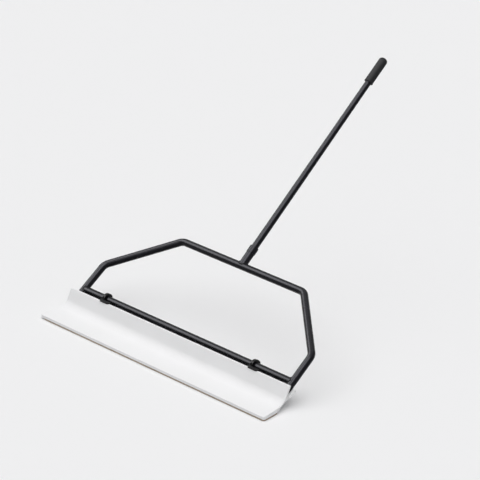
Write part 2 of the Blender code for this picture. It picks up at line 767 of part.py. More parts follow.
screw_bottom = CROSSBAR_Z - CLAMP_SCREW_DEPTH
head_seat = CROSSBAR_Z + CLAMP_HEAD_SEAT
hole_radius = CLAMP_SCREW_RADIUS + GAP
counterbore_radius = CLAMP_HEAD_RADIUS + GAP
hole_profile = [
    (0.0, head_seat + CLAMP_RADIUS),
    (counterbore_radius, head_seat + CLAMP_RADIUS),
    (counterbore_radius, head_seat - GAP),
    (hole_radius, head_seat - GAP),
    (hole_radius, screw_bottom - GAP),
    (0.0, screw_bottom - GAP),
]
screw_profile = [
    (0.0, head_seat + CLAMP_HEAD_HEIGHT),
    (CLAMP_HEAD_RADIUS, head_seat + CLAMP_HEAD_HEIGHT),
    (CLAMP_HEAD_RADIUS, head_seat),
    (CLAMP_SCREW_RADIUS, head_seat),
    (CLAMP_SCREW_RADIUS, screw_bottom),
    (0.0, screw_bottom),
]


SCREW_ROWS = {"front": -CLAMP_SCREW_OFFSET, "rear": CLAMP_SCREW_OFFSET}
for side, sign in SIDES.items():
    x = sign * (CROSSBAR_HALF - CLAMP_FROM_LEG[side])
    upper = flat_outline(half_ring(1), CLAMP_WIDTH / 2, SECTION_AXES, (x, 0, 0))
    place(upper, f"clamp_top_{side}", (BLACK_COAT, 0.45))
    plate_place = (x + toe_middle, 0, (toe_bottom + toe_top) / 2)
    plate = flat_outline(plate_outline, TOE_THICKNESS / 2, Matrix.Identity(4), plate_place)
    back = flat_outline(back_outline, toe_half, SECTION_AXES, (x + toe_middle, 0, 0))
    arm = flat_outline(arm_outline, CLAMP_WIDTH / 2 - GAP, SECTION_AXES, (x, 0, 0))
    for piece, name in ((arm, "arm"), (back, "back"), (plate, "plate")):
        boolean(upper, place(piece, f"clamp_{name}_{side}"), "UNION")
    lower = flat_outline(half_ring(-1), CLAMP_WIDTH / 2, SECTION_AXES, (x, 0, 0))
    place(lower, f"clamp_bottom_{side}", (BLACK_COAT, 0.45))
    boolean(lower, seat)
    for row, offset in SCREW_ROWS.items():
        hole = turned(hole_profile, steps=SCREW_TURN_STEPS)
        hole.location = (x, CROSSBAR_Y + offset, 0)
        place(hole, f"clamp_screw_space_{side}_{row}")
        boolean(upper, hole)
        boolean(lower, hole)
        screw = turned(screw_profile, steps=SCREW_TURN_STEPS)
        screw.location = (x, CROSSBAR_Y + offset, 0)
        place(screw, f"clamp_screw_{side}_{row}", (BLACK_OXIDE, 0.4, 1.0))
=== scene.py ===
"""Looks of the floor squeegee: tube bow, crossbar, locked handle, moulded blade, rubber strip."""

import math

import bmesh
import bpy
from mathutils import Matrix, Vector


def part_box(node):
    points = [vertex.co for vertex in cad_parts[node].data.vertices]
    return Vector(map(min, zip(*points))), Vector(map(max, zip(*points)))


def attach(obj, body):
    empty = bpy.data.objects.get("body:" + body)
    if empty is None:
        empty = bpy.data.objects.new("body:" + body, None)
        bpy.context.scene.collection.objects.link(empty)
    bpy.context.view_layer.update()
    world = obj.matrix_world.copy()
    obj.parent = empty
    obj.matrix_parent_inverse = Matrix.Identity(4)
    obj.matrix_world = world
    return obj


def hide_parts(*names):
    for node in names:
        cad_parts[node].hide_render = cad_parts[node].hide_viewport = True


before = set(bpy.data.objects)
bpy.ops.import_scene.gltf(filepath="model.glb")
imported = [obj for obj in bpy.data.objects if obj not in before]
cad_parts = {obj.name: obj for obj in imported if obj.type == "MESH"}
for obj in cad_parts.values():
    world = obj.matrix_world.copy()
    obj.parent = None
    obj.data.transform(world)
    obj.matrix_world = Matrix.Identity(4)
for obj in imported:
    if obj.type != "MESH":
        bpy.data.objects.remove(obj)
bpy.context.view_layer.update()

# Bow
# One round steel tube, bent into two legs, two slanted arms and a top bar, and powder coated satin
# black. The leg ends are cut to stand in the blade's channel, between its wall and its flap.
TUBE_RADIUS = 0.0148
TUBE_WALL = 0.0015
TUBE_SIDES = 64
LEG_TILT = math.radians(35.5)
ARM_TILT = math.radians(29.7)
LEG_RISE = 0.1277
ARM_LENGTH = 0.2313
LEG_LEAN = 0.0034
LEG_TAIL = 0.088
LEG_HALF = 0.579
UPPER_BEND_HALF = 0.3335
LOWER_BEND_RADIUS = 0.040
UPPER_BEND_RADIUS = 0.045
BEND_STEPS = 16
CHANNEL_ROOT = Vector((0.0935, 0.0412))
WALL_TOP_REAR = Vector((0.1182, 0.0885))
FLAP_TOP = Vector((0.1407, 0.0618))
FLAP_END = Vector((0.1435, 0.0554))
SEAT_GAP = 0.0003
MERGE_DISTANCE = 0.00001
SMOOTH_ANGLE = math.radians(38)
COAT_COLOUR = (0.003, 0.003, 0.0045)
SHEEN_TINT = (0.92, 0.92, 1.0)

crossbar_low, crossbar_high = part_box("crossbar")
crossbar_y = (crossbar_low.y + crossbar_high.y) / 2
crossbar_z = (crossbar_low.z + crossbar_high.z) / 2


def mirrored(point, sign):
    """A point of the right half, moved to the left half when the sign is minus."""
    return Vector((point[0] * sign, point[1], point[2]))


def tree_node(tree, kind, links=(), **values):
    """A node with settings, and with its inputs linked to sockets or given values."""
    node = tree.nodes.new(kind)
    for name, value in values.items():
        setattr(node, name, value)
    for socket, value in links:
        if isinstance(value, bpy.types.NodeSocket):
            tree.links.new(value, node.inputs[socket])
        else:
            node.inputs[socket].default_value = value
    return node


def new_group(name, kind, inputs, outputs):
    """An empty node group with named sockets, and its input and output nodes."""
    tree = bpy.data.node_groups.new(name, kind)
    for in_out, sockets in (("INPUT", inputs), ("OUTPUT", outputs)):
        for label, socket_type in sockets:
            tree.interface.new_socket(label, in_out=in_out, socket_type=socket_type)
    return tree, tree.nodes.new("NodeGroupInput"), tree.nodes.new("NodeGroupOutput")


MOTTLE_DETAIL = 4.0
MOTTLE_FINENESS = 0.55
MOTTLE_LOW = 0.32
MOTTLE_HIGH = 0.68
GRAIN_DETAIL = 2.0
GRAIN_FINENESS = 0.6
GRAIN_DEPTH = 0.0004
# The colour sockets of a Mix node, which have the same names as its number sockets
COLOUR_A, COLOUR_B, COLOUR_RESULT = 6, 7, 2


def surface_grain_group():
    """Soft mottling and fine grain for coats, plastics and rubbers."""
    tree, given, result = new_group(
        "surface_grain",
        "ShaderNodeTree",
        [
            ("Vector", "NodeSocketVector"),
            ("Colour", "NodeSocketColor"),
            ("Mottled Colour", "NodeSocketColor"),
            ("Mottle Scale", "NodeSocketFloat"),
            ("Grain Scale", "NodeSocketFloat"),
            ("Roughness", "NodeSocketFloat"),
            ("Roughness Spread", "NodeSocketFloat"),
        ],
        [
            ("Colour", "NodeSocketColor"),
            ("Roughness", "NodeSocketFloat"),
            ("Height", "NodeSocketFloat"),
        ],
    )
    place = given.outputs["Vector"]
    mottle = tree_node(
        tree,
        "ShaderNodeTexNoise",
        [
            ("Vector", place),
            ("Scale", given.outputs["Mottle Scale"]),
            ("Detail", MOTTLE_DETAIL),
            ("Roughness", MOTTLE_FINENESS),
        ],
    )
    spread = tree_node(
        tree,
        "ShaderNodeMapRange",
        [("Value", mottle.outputs["Fac"]), ("From Min", MOTTLE_LOW), ("From Max", MOTTLE_HIGH)],
    )
    blend = tree_node(tree, "ShaderNodeMix", [(0, spread.outputs["Result"])], data_type="RGBA")
    tree.links.new(given.outputs["Colour"], blend.inputs[COLOUR_A])
    tree.links.new(given.outputs["Mottled Colour"], blend.inputs[COLOUR_B])
    grain = tree_node(
        tree,
        "ShaderNodeTexNoise",
        [
            ("Vector", place),
            ("Scale", given.outputs["Grain Scale"]),
            ("Detail", GRAIN_DETAIL),
            ("Roughness", GRAIN_FINENESS),
        ],
    )
    offset = tree_node(
        tree, "ShaderNodeMath", [(0, spread.outputs["Result"]), (1, 0.5)], operation="SUBTRACT"
    )
    rough = tree_node(
        tree,
        "ShaderNodeMath",
        [
            (0, offset.outputs[0]),
            (1, given.outputs["Roughness Spread"]),
            (2, given.outputs["Roughness"]),
        ],
        operation="MULTIPLY_ADD",
    )
    tree.links.new(blend.outputs[COLOUR_RESULT], result.inputs["Colour"])
    tree.links.new(rough.outputs[0], result.inputs["Roughness"])
    tree.links.new(grain.outputs["Fac"], result.inputs["Height"])
    return tree


GRAIN = surface_grain_group()


def grained_material(
    name,
    colour,
    mottled,
    scales,
    roughness,
    spread,
    bump,
    specular=0.5,
    tint=(1.0, 1.0, 1.0),
    metallic=0.0,
    stretch=None,
):
    """A Principled material whose colour, roughness and bump come from the grain group."""
    made = bpy.data.materials.new(name)
    made.use_nodes = True
    tree = made.node_tree
    shader = tree.nodes["Principled BSDF"]
    place = tree_node(tree, "ShaderNodeTexCoord").outputs["Object"]
    if stretch:
        mapping = tree_node(tree, "ShaderNodeMapping", [("Vector", place), ("Scale", stretch)])
        place = mapping.outputs["Vector"]
    grain = tree_node(tree, "ShaderNodeGroup", node_tree=GRAIN)
    tree.links.new(place, grain.inputs["Vector"])
    mottle_scale, grain_scale = scales
    for socket, value in [
        ("Colour", (*colour, 1.0)),
        ("Mottled Colour", (*mottled, 1.0)),
        ("Mottle Scale", mottle_scale),
        ("Grain Scale", grain_scale),
        ("Roughness", roughness),
        ("Roughness Spread", spread),
    ]:
        grain.inputs[socket].default_value = value
    dents = tree_node(
        tree,
        "ShaderNodeBump",
        [("Height", grain.outputs["Height"]), ("Strength", bump), ("Distance", GRAIN_DEPTH)],
    )
    tree.links.new(grain.outputs["Colour"], shader.inputs["Base Color"])
    tree.links.new(grain.outputs["Roughness"], shader.inputs["Roughness"])
    tree.links.new(dents.outputs["Normal"], shader.inputs["Normal"])
    shader.inputs["Specular IOR Level"].default_value = specular
    shader.inputs["Specular Tint"].default_value = (*tint, 1.0)
    shader.inputs["Metallic"].default_value = metallic
    return made


def bent_tube_tree():
    """Sweeps a circle along a path of edges, with each corner bent to its own radius."""
    tree, given, result = new_group(
        "bent_tube",
        "GeometryNodeTree",
        [
            ("Geometry", "NodeSocketGeometry"),
            ("Tube Radius", "NodeSocketFloat"),
            ("Sides", "NodeSocketInt"),
            ("Bend Steps", "NodeSocketInt"),
            ("Material", "NodeSocketMaterial"),
        ],
        [("Geometry", "NodeSocketGeometry")],
    )
    line = tree_node(tree, "GeometryNodeMeshToCurve", [("Mesh", given.outputs["Geometry"])])
    bend = tree_node(
        tree, "GeometryNodeInputNamedAttribute", [("Name", "bend_radius")], data_type="FLOAT"
    )
    rounded = tree_node(
        tree,
        "GeometryNodeFilletCurve",
        [
            ("Curve", line.outputs["Curve"]),
            ("Count", given.outputs["Bend Steps"]),
            ("Radius", bend.outputs["Attribute"]),
        ],
        mode="POLY",
    )
    circle = tree_node(
        tree,
        "GeometryNodeCurvePrimitiveCircle",
        [("Resolution", given.outputs["Sides"]), ("Radius", given.outputs["Tube Radius"])],
    )
    swept = tree_node(
        tree,
        "GeometryNodeCurveToMesh",
        [
            ("Curve", rounded.outputs["Curve"]),
            ("Profile Curve", circle.outputs["Curve"]),
            ("Fill Caps", True),
        ],
    )
    welded = tree_node(
        tree,
        "GeometryNodeMergeByDistance",
        [("Geometry", swept.outputs["Mesh"]), ("Distance", MERGE_DISTANCE)],
    )
    real = tree_node(
        tree, "GeometryNodeRealizeInstances", [("Geometry", welded.outputs["Geometry"])]
    )
    coated = tree_node(
        tree,
        "GeometryNodeSetMaterial",
        [("Geometry", real.outputs["Geometry"]), ("Material", given.outputs["Material"])],
    )
    tree.links.new(coated.outputs["Geometry"], result.inputs["Geometry"])
    return tree


def run_tree(obj, tree, **values):
    """Puts a Geometry Nodes modifier on an object, with its named inputs set."""
    modifier = obj.modifiers.new(tree.name, "NODES")
    modifier.node_group = tree
    for item in tree.interface.items_tree:
        key = item.name.lower().replace(" ", "_")
        if item.in_out == "INPUT" and key in values:
            modifier[item.identifier] = values[key]
    return obj


def linked(name, mesh):
    """A mesh as an object in the scene."""
    obj = bpy.data.objects.new(name, mesh)
    bpy.context.scene.collection.objects.link(obj)
    return obj


def baked(obj):
    """The object's evaluated shape as a plain mesh object at the origin, in place of the object."""
    bpy.context.view_layer.update()
    graph = bpy.context.evaluated_depsgraph_get()
    mesh = bpy.data.meshes.new_from_object(obj.evaluated_get(graph))
    mesh.transform(obj.matrix_world)
    name = obj.name
    bpy.data.objects.remove(obj)
    return linked(name, mesh)


def path_object(name, points, radii=None, closed=False):
    """A mesh of edges along points, with a bend radius at each one."""
    mesh = bpy.data.meshes.new(name)
    count = len(points)
    edges = [(index, (index + 1) % count) for index in range(count if closed else count - 1)]
    mesh.from_pydata([tuple(point) for point in points], edges, [])
    bends = mesh.attributes.new("bend_radius", "FLOAT", "POINT")
    bends.data.foreach_set("value", radii or [0.0] * count)
    return linked(name, mesh)


def cut(obj, cutter, operation="DIFFERENCE"):
    """Takes a cutter out of an object, or keeps only what both share."""
    modifier = obj.modifiers.new(cutter.name, "BOOLEAN")
    modifier.operation = operation
    modifier.solver = "EXACT"
    modifier.object = cutter
    return obj


def without(*objects):
    """Removes helper objects that aren't needed any more."""
    for obj in objects:
        bpy.data.objects.remove(obj)


def finished(obj, body, slot, material, *nodes):
    """A piece with its material and smooth rounds, riding its body in place of CAD nodes."""
    obj.data.materials.clear()
    obj.data.materials.append(material)
    obj.data.shade_smooth()
    obj.data.set_sharp_from_angle(angle=SMOOTH_ANGLE)
    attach(obj, body)
    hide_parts(*nodes)
    return obj


BENT_TUBE = bent_tube_tree()
TUBE_COAT = grained_material(
    "tube_coat",
    COAT_COLOUR,
    (0.005, 0.005, 0.0065),
    scales=(26, 900),
    roughness=0.27,
    spread=0.04,
    bump=0.05,
    specular=0.12,
    tint=SHEEN_TINT,
)

leg_point = Vector((LEG_HALF, crossbar_y, crossbar_z))
lower_bend = leg_point + Vector(
    (-LEG_LEAN, LEG_RISE * math.cos(LEG_TILT), LEG_RISE * math.sin(LEG_TILT))
)
upper_bend = Vector(
    (
        UPPER_BEND_HALF,
        lower_bend.y + ARM_LENGTH * math.cos(ARM_TILT),
        lower_bend.z + ARM_LENGTH * math.sin(ARM_TILT),
    )
)
leg_direction = (leg_point - lower_bend).normalized()
right_half = [leg_point + leg_direction * LEG_TAIL, lower_bend, upper_bend]
bow_points = right_half + [mirrored(point, -1) for point in reversed(right_half)]
bow_bends = [0.0, LOWER_BEND_RADIUS, UPPER_BEND_RADIUS, UPPER_BEND_RADIUS, LOWER_BEND_RADIUS, 0.0]


def bow_solid(name, radius):
    """The whole bow as a filled tube of the radius given."""
    obj = path_object(name, bow_points, bow_bends)
    run_tree(
        obj,
        BENT_TUBE,
        tube_radius=radius,
        sides=TUBE_SIDES,
        bend_steps=BEND_STEPS,
        material=TUBE_COAT,
    )
    return baked(obj)


def section_slab(name, outline, half_length):
    """A closed outline in Y and Z, made solid along X."""
    mesh = bpy.data.meshes.new(name)
    solid = bmesh.new()
    ring = [solid.verts.new((-half_length, point[0], point[1])) for point in outline]
    face = solid.faces.new(ring)
    grown = bmesh.ops.extrude_face_region(solid, geom=[face])
    moved = [item for item in grown["geom"] if isinstance(item, bmesh.types.BMVert)]
    bmesh.ops.translate(solid, verts=moved, vec=(2 * half_length, 0, 0))
    bmesh.ops.recalc_face_normals(solid, faces=solid.faces)
    solid.to_mesh(mesh)
    solid.free()
    return linked(name, mesh)


wall_line = (WALL_TOP_REAR - CHANNEL_ROOT).normalized()
flap_line = (FLAP_TOP - CHANNEL_ROOT).normalized()
wall_out = Vector((wall_line.y, -wall_line.x))
flap_out = Vector((-flap_line.y, flap_line.x))
flap_drop = (FLAP_END - FLAP_TOP).normalized()
seat_root = CHANNEL_ROOT + (wall_out + flap_out) * SEAT_GAP / (1.0 + wall_out.dot(flap_out))
seat_corner = FLAP_TOP + (flap_out + flap_line) * SEAT_GAP
seat_outline = [
    seat_root,
    seat_corner,
    seat_corner + flap_drop * LEG_TAIL,
    seat_root - flap_out * LEG_TAIL - wall_out * LEG_TAIL,
    seat_root + wall_line * LEG_TAIL - wall_out * LEG_TAIL,
    seat_root + wall_line * LEG_TAIL,
]
channel_cutter = section_slab("channel_cutter", seat_outline, LEG_HALF + 2 * LEG_TAIL)
bow_outside = bow_solid("bow_outside", TUBE_RADIUS)
bow_inside = bow_solid("bow_inside", TUBE_RADIUS - TUBE_WALL)
bow = bow_solid("bow", TUBE_RADIUS)
cut(bow, bow_inside)
cut(bow, channel_cutter)
finished(baked(bow), "frame", "black_powder_coat", TUBE_COAT, "bow_tube")
without(channel_cutter, bow_inside)

# Crossbar
# A straight length of the same tube, coped at both ends to fit the round legs. It is welded between
# them and coated with the bow.
bar_ends = [Vector((end.x, crossbar_y, crossbar_z)) for end in (crossbar_low, crossbar_high)]


def straight_tube(name, ends, radius):
    """A filled tube between two points."""
    obj = path_object(name, ends)
    run_tree(obj, BENT_TUBE, tube_radius=radius, sides=TUBE_SIDES, bend_steps=1, material=TUBE_COAT)
    return baked(obj)


crossbar_inside = straight_tube("crossbar_inside", bar_ends, TUBE_RADIUS - TUBE_WALL)
crossbar = straight_tube("crossbar_tube", bar_ends, TUBE_RADIUS)
cut(crossbar, crossbar_inside)
cut(crossbar, bow_outside)
finished(baked(crossbar), "frame", "black_powder_coat", TUBE_COAT, "crossbar")

# Weld beads
# Laid by hand in overlapping drops where the crossbar meets the legs and where the socket meets the
# top bar, and coated with the frame.
WELD_RADIUS = 0.0029
WELD_OUTWARDS = 0.0035
WELD_DROPS = 34
WELD_RIPPLE = 0.07
WELD_POINTS = 240
WELD_SIDES = 16
SOCKET_RADIUS = 0.01675
HANDLE_TILT = math.radians(39.7)
HANDLE_X = -0.0045


def weld_bead_tree():
    """A bead along a closed path, swelling and narrowing with every drop."""
    tree, given, result = new_group(
        "weld_bead",
        "GeometryNodeTree",
        [
            ("Geometry", "NodeSocketGeometry"),
            ("Bead Radius", "NodeSocketFloat"),
            ("Drops", "NodeSocketInt"),
            ("Ripple", "NodeSocketFloat"),
            ("Material", "NodeSocketMaterial"),
        ],
        [("Geometry", "NodeSocketGeometry")],
    )
    line = tree_node(tree, "GeometryNodeMeshToCurve", [("Mesh", given.outputs["Geometry"])])
    along = tree_node(tree, "GeometryNodeSplineParameter").outputs["Factor"]
    turns = tree_node(
        tree, "ShaderNodeMath", [(0, along), (1, given.outputs["Drops"])], operation="MULTIPLY"
    )
    phase = tree_node(
        tree, "ShaderNodeMath", [(0, turns.outputs[0]), (1, math.pi)], operation="MULTIPLY"
    )
    wave = tree_node(tree, "ShaderNodeMath", [(0, phase.outputs[0])], operation="SINE")
    drop = tree_node(tree, "ShaderNodeMath", [(0, wave.outputs[0])], operation="ABSOLUTE")
    swell = tree_node(
        tree,
        "ShaderNodeMath",
        [(0, drop.outputs[0]), (1, given.outputs["Ripple"]), (2, 1.0)],
        operation="MULTIPLY_ADD",
    )
    circle = tree_node(
        tree,
        "GeometryNodeCurvePrimitiveCircle",
        [("Resolution", WELD_SIDES), ("Radius", given.outputs["Bead Radius"])],
    )
    swept = tree_node(
        tree,
        "GeometryNodeCurveToMesh",
        [
            ("Curve", line.outputs["Curve"]),
            ("Profile Curve", circle.outputs["Curve"]),
            ("Scale", swell.outputs[0]),
        ],
    )
    real = tree_node(tree, "GeometryNodeRealizeInstances", [("Geometry", swept.outputs["Mesh"])])
    coated = tree_node(
        tree,
        "GeometryNodeSetMaterial",
        [("Geometry", real.outputs["Geometry"]), ("Material", given.outputs["Material"])],
    )
    tree.links.new(coated.outputs["Geometry"], result.inputs["Geometry"])
    return tree


def meeting_line(radius, other_direction, other_radius, inwards, first, second):
    """Where a tube's surface meets the tube that it is welded to."""
    points = []
    for step in range(WELD_POINTS):
        angle = 2 * math.pi * step / WELD_POINTS
        around = (first * math.cos(angle) + second * math.sin(angle)) * radius
        inside = other_radius**2 - around.length_squared + around.dot(other_direction) ** 2
        points.append(around + inwards * math.sqrt(max(inside, 0.0) + WELD_OUTWARDS**2))
    return points


WELD_BEAD = weld_bead_tree()
WELD_COAT = grained_material(
    "weld_coat",
    COAT_COLOUR,
    (0.008, 0.008, 0.009),
    scales=(60, 1400),
    roughness=0.36,
    spread=0.08,
    bump=0.15,
    specular=0.12,
)


def weld(name, points, node):
    """A coated bead along a closed line of points, in place of the CAD's."""
    bead = path_object(name, points, closed=True)
    run_tree(
        bead,
        WELD_BEAD,
        bead_radius=WELD_RADIUS,
        drops=WELD_DROPS,
        ripple=WELD_RIPPLE,
        material=WELD_COAT,
    )
    return finished(baked(bead), "frame", "black_powder_coat", WELD_COAT, node)


axis_x, axis_y, axis_z = Vector((1, 0, 0)), Vector((0, 1, 0)), Vector((0, 0, 1))
bar_weld = meeting_line(TUBE_RADIUS, leg_direction, TUBE_RADIUS, -axis_x, axis_y, axis_z)
for side, sign in (("right", 1), ("left", -1)):
    line = [mirrored(leg_point + point, sign) for point in bar_weld]
    weld(f"crossbar_bead_{side}", line, f"crossbar_weld_{side}")

top_bar_point = Vector((HANDLE_X, upper_bend.y, upper_bend.z))
handle_turn = Matrix.Rotation(HANDLE_TILT - math.pi / 2, 4, "X")
HANDLE_SPACE = Matrix.Translation(top_bar_point) @ handle_turn
socket_line = meeting_line(SOCKET_RADIUS, axis_x, TUBE_RADIUS, axis_z, axis_x, axis_y)
weld("socket_bead", [HANDLE_SPACE @ point for point in socket_line], "socket_weld")

# Handle socket
# A short steel tube, coped and welded on the middle of the top bar, with a turned step at its end
# that carries the locking collar.
SOCKET_START = 0.003
SOCKET_SHOULDER = 0.061
SOCKET_TOP = 0.079
SOCKET_THREAD_RADIUS = 0.0156
SOCKET_CHAMFER = 0.0005
HANDLE_RADIUS = 0.01375
RUNNING_GAP = 0.0003
TURN_STEPS = 96


def turned(name, profile, closed=False, space=HANDLE_SPACE, steps=TURN_STEPS):
    """A profile of radius and height, listed down its outer side and turned about Z."""
    mesh = bpy.data.meshes.new(name)
    points = [(radius, 0.0, height) for radius, height in profile]
    edges = [(index, index + 1) for index in range(len(points) - 1)]
    if closed:
        edges.append((len(points) - 1, 0))
    mesh.from_pydata(points, edges, [])
    obj = linked(name, mesh)
    screw = obj.modifiers.new("turn", "SCREW")
    screw.axis = "Z"
    screw.steps = steps
    screw.render_steps = steps
    screw.use_merge_vertices = True
    screw.merge_threshold = MERGE_DISTANCE
    obj.matrix_world = space
    return baked(obj)


socket_bore = HANDLE_RADIUS + RUNNING_GAP
socket_profile = [
    (SOCKET_THREAD_RADIUS, SOCKET_TOP),
    (SOCKET_THREAD_RADIUS, SOCKET_SHOULDER),
    (SOCKET_RADIUS - SOCKET_CHAMFER, SOCKET_SHOULDER),
    (SOCKET_RADIUS, SOCKET_SHOULDER - SOCKET_CHAMFER),
    (SOCKET_RADIUS, SOCKET_START),
    (socket_bore, SOCKET_START),
    (socket_bore, SOCKET_TOP),
]
socket = cut(turned("socket", socket_profile, closed=True), bow_outside)
finished(baked(socket), "frame", "black_powder_coat", TUBE_COAT, "handle_socket")
without(bow_outside, crossbar_inside)

# Locking collar
# A turned ring with a rounded rim, coated black like the frame. It screws on the socket's end and
# presses the split sleeve inside it on the handle.
COLLAR_TOP = 0.0905
COLLAR_RADIUS = 0.0183
COLLAR_ROUNDING = 0.0011
COLLAR_FLANGE = 0.003
COLLAR_GAP = 0.0007
COLLAR_BORE_CHAMFER = 0.0004
COLLAR_ARC_STEPS = 6

collar_bottom = SOCKET_SHOULDER + COLLAR_GAP
collar_profile = [(socket_bore + COLLAR_BORE_CHAMFER, COLLAR_TOP)]
for step in range(COLLAR_ARC_STEPS + 1):
    angle = math.pi / 2 * step / COLLAR_ARC_STEPS
    collar_profile.append(
        (
            COLLAR_RADIUS - COLLAR_ROUNDING * (1 - math.sin(angle)),
            COLLAR_TOP - COLLAR_ROUNDING * (1 - math.cos(angle)),
        )
    )
collar_profile += [
    (COLLAR_RADIUS, collar_bottom + COLLAR_ROUNDING / 2),
    (COLLAR_RADIUS - COLLAR_ROUNDING / 2, collar_bottom),
    (SOCKET_THREAD_RADIUS + RUNNING_GAP, collar_bottom),
    (SOCKET_THREAD_RADIUS + RUNNING_GAP, COLLAR_TOP - COLLAR_FLANGE),
    (socket_bore, COLLAR_TOP - COLLAR_FLANGE),
    (socket_bore, COLLAR_TOP - COLLAR_BORE_CHAMFER),
]
collar = turned("collar", collar_profile, closed=True)
finished(collar, "locking_collar", "black_powder_coat", TUBE_COAT, "locking_collar")

# Handle tube
# A long tube in the same black coat, straight where it slides in the socket and drawn to a slight
# taper above.
HANDLE_TOP_RADIUS = 0.01225
HANDLE_WALL = 0.0015
HANDLE_FOOT = 0.0200
HANDLE_FOOT_CHAMFER = 0.0006
HANDLE_STRAIGHT_TO = 0.150
HANDLE_TOP = 1.0085

handle_profile = [
    (HANDLE_TOP_RADIUS, HANDLE_TOP),
    (HANDLE_RADIUS, HANDLE_STRAIGHT_TO),
    (HANDLE_RADIUS, HANDLE_FOOT + HANDLE_FOOT_CHAMFER),
    (HANDLE_RADIUS - HANDLE_FOOT_CHAMFER, HANDLE_FOOT),
    (HANDLE_RADIUS - HANDLE_WALL, HANDLE_FOOT),
    (HANDLE_RADIUS - HANDLE_WALL, HANDLE_STRAIGHT_TO),
    (HANDLE_TOP_RADIUS - HANDLE_WALL, HANDLE_TOP),
]
handle = turned("handle", handle_profile, closed=True)
finished(handle, "handle", "black_powder_coat", TUBE_COAT, "handle_tube")

# Grip
# A moulded rubber sleeve with a rolled rim at its mouth and a round closed end. It is pushed over
# the handle tube's upper end.
GRIP_START = HANDLE_TOP - 0.110
GRIP_TIP = HANDLE_TOP + 0.0099
GRIP_RADIUS = 0.01785
GRIP_RIM_RADIUS = 0.0186
GRIP_RIM_HEIGHT = 0.0044
GRIP_MOUTH_TURN_IN = 0.0008
GRIP_DOME = 0.0150
GRIP_WALL_END = 0.0060
DOME_STEPS = 24
RIM_STEPS = 12

taper = (HANDLE_RADIUS - HANDLE_TOP_RADIUS) / (HANDLE_TOP - HANDLE_STRAIGHT_TO)
grip_bore = HANDLE_RADIUS - taper * (GRIP_START - HANDLE_STRAIGHT_TO) + RUNNING_GAP
grip_profile = []
for step in range(DOME_STEPS + 1):
    angle = math.pi / 2 * step / DOME_STEPS
    height = GRIP_TIP - GRIP_DOME + GRIP_DOME * math.cos(angle)
    grip_profile.append((GRIP_RADIUS * math.sin(angle), height))
for step in range(RIM_STEPS + 1):
    part_way = step / RIM_STEPS
    angle = math.pi * part_way
    swell = (GRIP_RIM_RADIUS - GRIP_RADIUS + GRIP_MOUTH_TURN_IN) * math.sin(angle)
    radius = GRIP_RADIUS - GRIP_MOUTH_TURN_IN * part_way + swell * (1 - part_way / 2)
    grip_profile.append((radius, GRIP_START + GRIP_RIM_HEIGHT * (1 + math.cos(angle)) / 2))
grip_profile += [
    (grip_bore, GRIP_START),
    (grip_bore, GRIP_TIP - GRIP_WALL_END),
    (0.0, GRIP_TIP - GRIP_WALL_END),
]
GRIP_RUBBER = grained_material(
    "grip_rubber",
    (0.011, 0.011, 0.0125),
    (0.016, 0.016, 0.018),
    scales=(40, 1500),
    roughness=0.6,
    spread=0.08,
    bump=0.2,
    specular=0.12,
)
finished(turned("grip_sleeve", grip_profile), "handle", "black_grip_rubber", GRIP_RUBBER, "grip")

# Plugs and split sleeve
# Moulded black plastic: the plugs pressed in the handle's two ends, and the slotted sleeve that
# stands on the socket's end inside the collar. They keep their CAD shapes.
PLUG_PLASTIC = grained_material(
    "plug_plastic",
    (0.022, 0.022, 0.024),
    (0.030, 0.030, 0.032),
    scales=(80, 1200),
    roughness=0.5,
    spread=0.06,
    bump=0.2,
)
for node in ("handle_plug", "handle_cap", "collet"):
    for material_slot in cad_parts[node].material_slots:
        material_slot.material = PLUG_PLASTIC

# Blade
# One white moulding: thin lip, curved front wall, heel, and a flap behind that is bolted to the
# legs. Its ends flare towards the lip and are round at the corners.
BLADE_OVERHANG = 0.04245
BLADE_LEFT_EXTRA = 0.005
MIDDLE_Y = 0.020
MIDDLE_NARROWING = 0.006
REAR_Y = 0.080
REAR_NARROWING = 0.0155
LIP_CORNER_RADIUS = 0.008
NARROWING_RADIUS = 0.080
TOP_CORNER_RADIUS = 0.007
LIP_Y = -0.0375
LIP_TOP_Z = 0.0175
SOLE_Z = 0.0063
HEEL = Vector((0.042, SOLE_Z))
WALL_FOOT = Vector((0.0783, 0.0262))
WALL_TOP_FRONT = Vector((0.1093, 0.0885))
FLAP_FOOT = Vector((0.0800, 0.0277))
WALL_FOOT_RADIUS = 0.045
FLAP_FOOT_RADIUS = 0.025
LIP_RADIUS = 0.0028
HEEL_RADIUS = 0.003
EDGE_RADIUS = 0.002
FLAP_RADIUS = 0.001
ROOT_RADIUS = 0.0005
ARC_STEPS = 12
PLAN_CUTTER_HALF = 0.1
PLAN_AXES = Matrix(((0, 1, 0, 0), (0, 0, 1, 0), (1, 0, 0, 0), (0, 0, 0, 1)))
FRONT_CUTTER_HALF = 0.3
FRONT_AXES = Matrix(((0, 1, 0, 0), (1, 0, 0, 0), (0, 0, 1, 0), (0, 0, 0, 1)))


def rounded_outline(corners, radii):
    """A closed outline whose corners are turned into arcs of their own radius."""
    outline = []
    count = len(corners)
    for index in range(count):
        corner = Vector(corners[index])
        radius = radii[index]
        if not radius:
            outline.append(corner)
            continue
        to_last = (Vector(corners[index - 1]) - corner).normalized()
        to_next = (Vector(corners[(index + 1) % count]) - corner).normalized()
        half_angle = to_last.angle(to_next) / 2
        centre = corner + (to_last + to_next).normalized() * radius / math.sin(half_angle)
        start = corner + to_last * radius / math.tan(half_angle) - centre
        end = corner + to_next * radius / math.tan(half_angle) - centre
        sweep = math.pi - 2 * half_angle
        for step in range(ARC_STEPS + 1):
            turn = sweep * step / ARC_STEPS
            outline.append(
                centre + (start * math.sin(sweep - turn) + end * math.sin(turn)) / math.sin(sweep)
            )
    return outline


